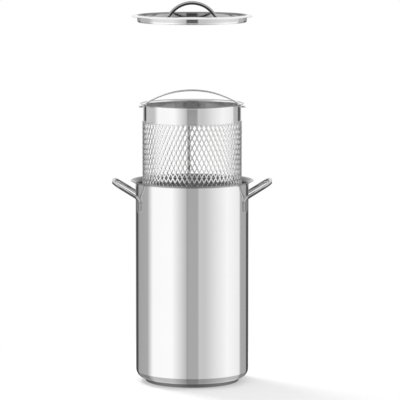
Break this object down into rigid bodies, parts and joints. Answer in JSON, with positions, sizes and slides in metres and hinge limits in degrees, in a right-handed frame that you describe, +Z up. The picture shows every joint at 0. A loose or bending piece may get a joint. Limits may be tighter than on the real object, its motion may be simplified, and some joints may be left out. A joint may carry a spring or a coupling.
{
  "type": "pasta pot with strainer insert",
  "caption": "Tall steel pasta pot with sandwich base and loop handles, lift-out expanded-mesh strainer insert with bail, and recessed lid with bow handle.",
  "frame": {"origin": "centre of the pot's base, on the table", "axes": "+Z up along the pot's axis; X through the two side handles and the bail's pivots; -Y is the side seen in the picture"},
  "size_m": [0.2282, 0.176, 0.5457],
  "materials": {
    "polished_steel": "polished stainless sheet with a faint vertical grain",
    "bright_steel": "bright polished stainless rod and strip",
    "mesh_steel": "electropolished expanded stainless sheet",
    "core_aluminium": "bare rolled aluminium, sealed inside the base"
  },
  "bodies": {
    "pot": {"pot_body": "polished_steel", "base_core": "core_aluminium", "base_cap": "polished_steel", "handle_left": "bright_steel", "handle_right": "bright_steel"},
    "insert": {"insert_collar": "polished_steel", "insert_mesh": "mesh_steel", "mesh_seam": "mesh_steel", "insert_dish": "polished_steel"},
    "bail": {"bail": "bright_steel"},
    "lid": {"lid_cover": "polished_steel", "lid_handle": "bright_steel"}
  },
  "joints": [
    {"name": "insert_lift", "type": "slide", "parent": "pot", "child": "insert", "axis": [0, 0, 1], "range_m": [-0.1392, 0.15]},
    {"name": "lid_lift", "type": "slide", "parent": "insert", "child": "lid", "axis": [0, 0, 1], "range_m": [-0.0952, 0.06]},
    {"name": "bail_swing", "type": "hinge", "parent": "insert", "child": "bail", "pos_m": [0, 0, 0.3951], "axis": [1, 0, 0], "range_deg": [-90, 90]}
  ]
}
